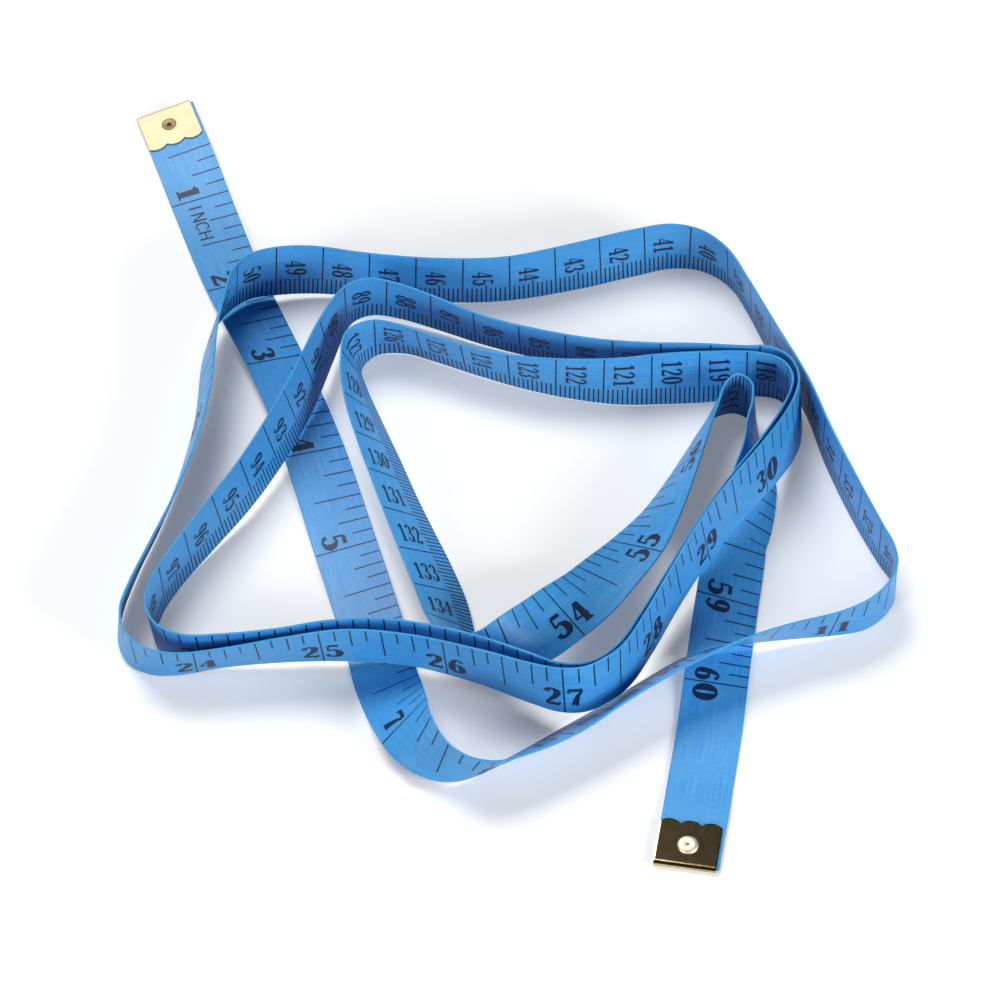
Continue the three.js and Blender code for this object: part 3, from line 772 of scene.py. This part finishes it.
@dataclass
class Print:
    """Scales and numbers of both faces, as thin ink on the band."""

    course: Course
    lead: Sequence[tuple[float, float]]
    inch: InchScale = InchScale()
    centimetre: CentimetreScale = CentimetreScale()
    clear: float = 0.0106
    ink: float = 0.000025
    margin: float = 0.00014
    line: float = 0.0003
    longest: float = 0.0016
    pieces: list[tuple[Face, np.ndarray]] = field(default_factory=list)

    def build(self) -> "Print":
        """Lays every line and number out by distance along the band.

        Returns:
            The print itself.
        """
        self._inches()
        self._centimetres()
        return self

    def on_band(self, printed: np.ndarray | float) -> np.ndarray:
        """Distances along the band of printed distances, both in metres."""
        shown, lead = (np.array(self.lead) * MM).T
        return np.interp(printed, shown, shown - lead) + np.maximum(np.asarray(printed) - shown[-1], 0)

    def _line(self, face: Face, at: float, low: float, high: float) -> None:
        """One line across the band, in short pieces that follow its twist.

        Args:
            face: The printed face.
            at: Printed distance.
            low: Offset of its lower end across the band.
            high: Offset of its upper end.
        """
        h, where = self.line / 2 * face.value, float(self.on_band(at))
        levels = np.linspace(low, high, math.ceil((high - low) / self.longest) + 1)
        quads = [[[where - h, a], [where + h, a], [where + h, b], [where - h, b]]
                 for a, b in zip(levels, levels[1:])]
        self._add(face, np.array(quads))

    def _add(self, face: Face, quads: np.ndarray) -> None:
        """Keeps pieces of ink that lie clear of both tips."""
        where = quads[:, :, 0]
        if where.min() > self.clear and where.max() < self.course.length - self.clear:
            self.pieces.append((face, quads))

    def _inches(self) -> None:
        """Inch face: lines from the inch edge at every eighth, numbers split by their line."""
        scale, width = self.inch, self.course.width
        edge = width / 2 - self.margin
        eighths = len(scale.shares)
        for eighth in range(1, scale.last * eighths + 1):
            low = max(width * (0.5 - scale.shares[eighth % eighths]), -edge)
            self._line(Face.INCH, eighth * INCH / eighths, low, edge)
        for number in range(1, scale.last + 1):
            for side, figure in zip((-1, 1), str(number)):
                quads = pen_quads(FIGURES[figure], scale.pen)
                middle = number * INCH + side * scale.figure_side
                along = self.on_band(middle + (quads[:, :, 0] - FIGURE_WIDTH / 2) * scale.figure_width)
                across = scale.figure_across + (quads[:, :, 1] - 0.5) * scale.figure_height
                self._add(Face.INCH, np.stack([along, across], axis=2))
        for place, letter in enumerate(scale.word):
            quads = pen_quads(FIGURES[letter])
            start = scale.word_start + place * scale.word_pitch
            along = self.on_band(start + quads[:, :, 0] * scale.word_width)
            across = scale.word_across + quads[:, :, 1] * scale.word_height
            self._add(Face.INCH, np.stack([along, across], axis=2))

    def _centimetres(self) -> None:
        """Centimetre face: lines from the plain edge at every millimetre, numbers across the band."""
        scale, width = self.centimetre, self.course.width
        edge = width / 2 - self.margin
        tenths = len(scale.shares)
        for millimetre in range(1, scale.last * tenths + 1):
            high = min(width * (scale.shares[millimetre % tenths] - 0.5), edge)
            self._line(Face.CENTIMETRE, millimetre * MM + scale.offset, -edge, high)
        for number in range(1, scale.last + 1):
            middle = number * tenths * MM + scale.offset - scale.figure_back
            figures = str(number)
            for place, figure in enumerate(figures):
                quads = pen_quads(FIGURES[figure], scale.pen)
                centre = scale.figure_across + scale.figure_pitch * (len(figures) - place - 0.5)
                along = self.on_band(middle - (quads[:, :, 1] - 0.5) * scale.figure_height)
                across = centre - (quads[:, :, 0] - FIGURE_WIDTH / 2) * scale.figure_width
                self._add(Face.CENTIMETRE, np.stack([along, across], axis=2))

    def piece(self, run: TapeRun) -> bpy.types.Object:
        """The ink that belongs to one stretch of the band.

        Args:
            run: The stretch.

        Returns:
            The ink as one object, not yet tied to a body.
        """
        bm = bmesh.new()
        for face, quads in self.pieces:
            middle = quads[:, :, 0].mean()
            if not run.start <= middle < run.end:
                continue
            flat = quads.reshape(-1, 2)
            height = face.value * (self.course.thickness / 2 + self.ink)
            points = self.course.place(flat[:, 0], flat[:, 1], height)
            corners = [bm.verts.new(tuple(p)) for p in points]
            for k in range(0, len(corners), 4):
                bm.faces.new(corners[k:k + 4])
        return new_object(run.name + "_print", bm)


@dataclass
class FoldedTip:
    """Strip of brass folded over the band's end, with round lobes along its inner edges."""

    name: str
    body: str
    width: float = 0.0124
    length: float = 0.0102
    plate: float = 0.00035
    top: float = 0.00135
    lobes: int = 3
    lobe_depth: float = 0.0009
    columns: int = 42
    shares: tuple[float, ...] = (1, 0.97, 0.9, 0.6, 0.3, 0.05)
    fold_steps: int = 12
    rim: float = 0.00009
    rim_angle: float = 1.0
    crease: float = 0.7
    shape: bpy.types.Object | None = None

    def reach(self, share: float) -> float:
        """Length of the plates at a share of the width, from lobe to lobe."""
        half = self.width / self.lobes / 2
        radius = (half * half + self.lobe_depth ** 2) / (2 * self.lobe_depth)
        off = (share * self.lobes % 1 - 0.5) * 2 * half
        return self.length - radius + math.sqrt(radius * radius - off * off)

    def build(self, place: Matrix) -> bpy.types.Object:
        """Outer and inner skins joined round the rim, with the rim softened.

        Args:
            place: Placement of the tip in the row frame.

        Returns:
            The tip.
        """
        columns = [k / self.columns for k in range(self.columns + 1)]
        middle = self.top / 2
        bm = bmesh.new()
        skins = []
        for radius in (middle, middle - self.plate):
            rows = [[(self.reach(c) * share, c, middle + radius) for c in columns]
                    for share in self.shares]
            for k in range(self.fold_steps + 1):
                turn = math.pi * (0.5 + k / self.fold_steps)
                out, up = radius * math.cos(turn), middle + radius * math.sin(turn)
                rows.append([(out, c, up) for c in columns])
            rows += [[(self.reach(c) * share, c, middle - radius) for c in columns]
                     for share in reversed(self.shares)]
            skins.append([[bm.verts.new((x, (c - 0.5) * self.width, z)) for x, c, z in row]
                          for row in rows])
        outer, inner = skins
        last, end = len(outer) - 1, len(columns) - 1
        for i in range(last):
            for j in range(end):
                bm.faces.new((outer[i][j], outer[i + 1][j], outer[i + 1][j + 1], outer[i][j + 1]))
                bm.faces.new((inner[i][j], inner[i][j + 1], inner[i + 1][j + 1], inner[i + 1][j]))
            bm.faces.new((outer[i][0], inner[i][0], inner[i + 1][0], outer[i + 1][0]))
            bm.faces.new((outer[i][end], outer[i + 1][end], inner[i + 1][end], inner[i][end]))
        for j in range(end):
            bm.faces.new((outer[0][j], outer[0][j + 1], inner[0][j + 1], inner[0][j]))
            bm.faces.new((outer[last][j], inner[last][j], inner[last][j + 1], outer[last][j + 1]))
        bmesh.ops.recalc_face_normals(bm, faces=bm.faces)
        rim = [e for e in bm.edges if e.is_manifold and e.calc_face_angle() > self.rim_angle]
        bmesh.ops.bevel(bm, geom=rim, offset=self.rim, offset_type="OFFSET", affect="EDGES", segments=2,
                        profile=0.5, material=-1, clamp_overlap=True)
        for made in bm.faces:
            made.smooth = True
        for edge in bm.edges:
            edge.smooth = not (edge.is_manifold and edge.calc_face_angle() > self.crease)
        bm.transform(place)
        self.shape = new_object(self.name, bm)
        return self.shape

    def dress(self, finish: bpy.types.Material) -> None:
        """Brass all over."""
        self.shape.data.materials.append(finish)


@dataclass
class Rivet:
    """Turned rivet through a tip, from a profile of (radius, height) that starts on the axis."""

    name: str
    body: str
    profile: Sequence[tuple[float, float]]
    # Radius of the painted shade at the middle of the head, for the shade in the rivet's hollow, which
    # the closed profile leaves out.
    eye: float
    setback: float = 0.0044
    # Lowest height at which that painted shade is laid on.
    eye_floor: float = 0.001
    segments: int = 40
    crease: float = 0.8
    shape: bpy.types.Object | None = None

    def build(self, place: Matrix) -> bpy.types.Object:
        """Profile spun round the rivet's axis.

        Args:
            place: Placement of the tip in the row frame.

        Returns:
            The rivet.
        """
        bm = bmesh.new()
        points = [bm.verts.new((radius, 0, height)) for radius, height in self.profile]
        edges = [bm.edges.new(pair) for pair in zip(points, points[1:])]
        bmesh.ops.spin(bm, geom=points + edges, cent=(0, 0, 0), axis=(0, 0, 1), dvec=(0, 0, 0),
                       angle=2 * math.pi, steps=self.segments, use_merge=True, use_normal_flip=False)
        bmesh.ops.remove_doubles(bm, verts=bm.verts, dist=1e-7)
        bmesh.ops.recalc_face_normals(bm, faces=bm.faces)
        for made in bm.faces:
            made.smooth = True
            middle = made.calc_center_median()
            # Faces of the head near the axis take the painted shade.
            in_hole_shade = math.hypot(middle.x, middle.y) < self.eye and middle.z > self.eye_floor
            made.material_index = 1 if in_hole_shade else 0
        for edge in bm.edges:
            edge.smooth = not (edge.is_manifold and edge.calc_face_angle() > self.crease)
        bm.transform(place @ Matrix.Translation((self.setback, 0, 0)))
        self.shape = new_object(self.name, bm)
        return self.shape

    def dress(self, finish: bpy.types.Material, painted_hole_shade: bpy.types.Material) -> None:
        """Brass, with painted shade at the middle of the head for the rivet's hollow."""
        self.shape.data.materials.append(finish)
        self.shape.data.materials.append(painted_hole_shade)


@dataclass(frozen=True)
class Softbox:
    """Square soft light turned to the middle of the object."""

    name: str
    azimuth: float
    elevation: float
    power: float
    size: float
    distance: float = 1.5

    def build(self) -> None:
        """Light at its angles round the object, in degrees."""
        turn, rise = math.radians(self.azimuth), math.radians(self.elevation)
        flat = math.cos(rise)
        at = Vector((flat * math.cos(turn), flat * math.sin(turn), math.sin(rise))) * self.distance
        data = bpy.data.lights.new(self.name, "AREA")
        data.shape = "SQUARE"
        data.size = self.size
        data.energy = self.power
        lamp = bpy.data.objects.new(self.name, data)
        lamp.location = at
        lamp.rotation_euler = (-at).to_track_quat("-Z", "Y").to_euler()
        bpy.context.scene.collection.objects.link(lamp)


@dataclass
class Studio:
    """Pale floor, faint surroundings, three soft lights and the camera of the photo."""

    floor_size: float = 6.0
    floor_drop: float = 0.0001
    surroundings: float = 0.04
    lights: Sequence[Softbox] = (
        Softbox("key", 123, 57, 17.0, 0.8),
        Softbox("left fill", 228, 18, 6.3, 0.4, 1.2),
        Softbox("right fill", 322, 22, 4.4, 0.3, 0.8),
    )
    camera_distance: float = 0.98772
    camera_pitch: float = 51.81
    focal_pixels: float = 4789.0
    picture_pixels: float = 1000.0
    sensor: float = 36.0
    nearest: float = 0.01

    def build(self, floor_finish: bpy.types.Material) -> None:
        """Floor, world, lights and camera.

        Args:
            floor_finish: Material of the floor.
        """
        bm = bmesh.new()
        bmesh.ops.create_grid(bm, x_segments=1, y_segments=1, size=self.floor_size / 2)
        bmesh.ops.translate(bm, verts=bm.verts, vec=(0, 0, -self.floor_drop))
        floor = new_object("floor", bm)
        floor.data.materials.append(floor_finish)
        world = bpy.data.worlds.new("studio")
        world.use_nodes = True
        world.node_tree.nodes["Background"].inputs["Color"].default_value = (1, 1, 1, 1)
        world.node_tree.nodes["Background"].inputs["Strength"].default_value = self.surroundings
        bpy.context.scene.world = world
        for light in self.lights:
            light.build()
        self._camera()
        bpy.context.scene.view_settings.view_transform = "Standard"

    def _camera(self) -> None:
        """Camera at the photo's angle, over the stations' own origin."""
        data = bpy.data.cameras.new("camera")
        data.sensor_width = self.sensor
        data.lens = self.sensor * self.focal_pixels / self.picture_pixels
        data.clip_start = self.nearest
        camera = bpy.data.objects.new("camera", data)
        pitch = math.radians(self.camera_pitch)
        back = Vector((0, -math.cos(pitch), math.sin(pitch))) * self.camera_distance
        camera.location = back - MIDDLE
        camera.rotation_euler = (math.pi / 2 - pitch, 0, 0)
        bpy.context.scene.collection.objects.link(camera)
        bpy.context.scene.camera = camera


# Rivets as (radius, height) from the axis outwards and back, and the radius of the painted shade at the
# middle of each head, which stands for the shade in the rivet's hollow.
EYELET: tuple[tuple[float, float], ...] = (
    (0.0, 0.00137), (0.0003, 0.00137), (0.0005, 0.0014), (0.0009, 0.00147), (0.0013, 0.00151),
    (0.0015, 0.00149), (0.0016, 0.00144), (0.00162, 0.00137), (0.001, 0.00134), (0.001, 0.0001),
    (0.0, 0.0001),
)
DOME: tuple[tuple[float, float], ...] = (
    (0.0, 0.00172), (0.00025, 0.00173), (0.0006, 0.00184), (0.001, 0.00188), (0.0015, 0.00184),
    (0.00185, 0.00172), (0.00205, 0.00155), (0.0021, 0.00136), (0.001, 0.00134), (0.001, 0.0001),
    (0.0, 0.0001),
)
EYELET_HOLE_SHADE = 0.0005
DOME_HOLE_SHADE = 0.0003


def main() -> None:
    """Builds the band, its print, the tips and the studio, and ties each piece to its body, except the
    two tail stretches and their print, which stay untied.
    """
    logging.basicConfig(level=logging.INFO, format="%(message)s")
    cloth = ClothFinish("cloth", (0.032, 0.305, 0.72), (0.105, 0.4, 0.8), 0.42, 0.8).material()
    selvedge = ClothFinish("selvedge", (0.03, 0.32, 0.7), (0.08, 0.4, 0.77), 0.6, 0.6).material()
    ink = PlainFinish("ink", (0.008, 0.022, 0.07), 0.45, 0.35).material()
    # Painted shade for the hollow middle of each rivet head.
    painted_hole_shade = PlainFinish("rivet eye", (0.03, 0.02, 0.01), 0.6).material()
    # Both tips are the same brass: the end tip's is polished and speckled far darker, partly tarnished
    # spots and partly painted shade for the dusky surroundings it reflects.
    start_brass = BrassFinish("start brass", (0.64, 0.48, 0.31), (0.58, 0.43, 0.28), 0.55).material()
    end_brass = BrassFinish("end brass", (0.58, 0.44, 0.23), (0.28, 0.2, 0.1), 0.1, 2600).material()
    # Rivet heads of one brass in two copies: the start head darkened almost to black-brown as painted
    # shade, the end head paled to cream, partly brass colour and partly painted highlight.
    start_head = BrassFinish("rivet brass with painted shade", (0.22, 0.18, 0.1), (0.13, 0.1, 0.05), 0.5).material()
    end_head = BrassFinish("rivet brass", (0.95, 0.9, 0.68), (0.85, 0.76, 0.52), 0.55).material()
    course = Course(STATIONS, TAPE_WIDTH, TAPE_THICKNESS).build()
    seam_start, seam_end = START_TAIL + START_OVERLAP, course.length - END_TAIL - END_OVERLAP
    runs = [
        TapeRun("band", seam_start, seam_end, "loops"),
        TapeRun("band_start", 0.0, seam_start, "loops", "start_tail", START_TAIL),
        TapeRun("band_end", seam_end, course.length, "loops", "end_tail", course.length - END_TAIL),
    ]
    stands_for = {"band": "tape_loops", "band_start": "start_tail", "band_end": "end_tail"}
    marks = Print(course, PRINT_LEAD).build()
    for run in runs:
        shape = run.build(course)
        run.dress(cloth, selvedge)
        printed = marks.piece(run)
        printed.data.materials.append(ink)
        for piece in (shape, printed):
            run.tie(course, piece)
        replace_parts(shape, stands_for[run.name])
        log.info("%s: %.1f mm of band, %d pieces of ink", run.name, (run.end - run.start) / MM,
                 len(printed.data.polygons))
    for end, at_start, finish, head, profile, eye in (
            ("start", True, start_brass, start_head, EYELET, EYELET_HOLE_SHADE),
            ("end", False, end_brass, end_head, DOME, DOME_HOLE_SHADE)):
        place = course.end_frame(at_start)
        tip = FoldedTip(end + "_brass", end + "_tail")
        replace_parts(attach(tip.build(place), tip.body), end + "_tip")
        tip.dress(finish)
        pin = Rivet(end + "_pin", end + "_tail", profile, eye)
        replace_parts(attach(pin.build(place), pin.body), end + "_rivet")
        pin.dress(head, painted_hole_shade)
        log.info("%s tip and rivet", end)
    Studio().build(FloorFinish("floor", 0.5, 0.95, 0.18).material())


if __name__ == "__main__":
    main()
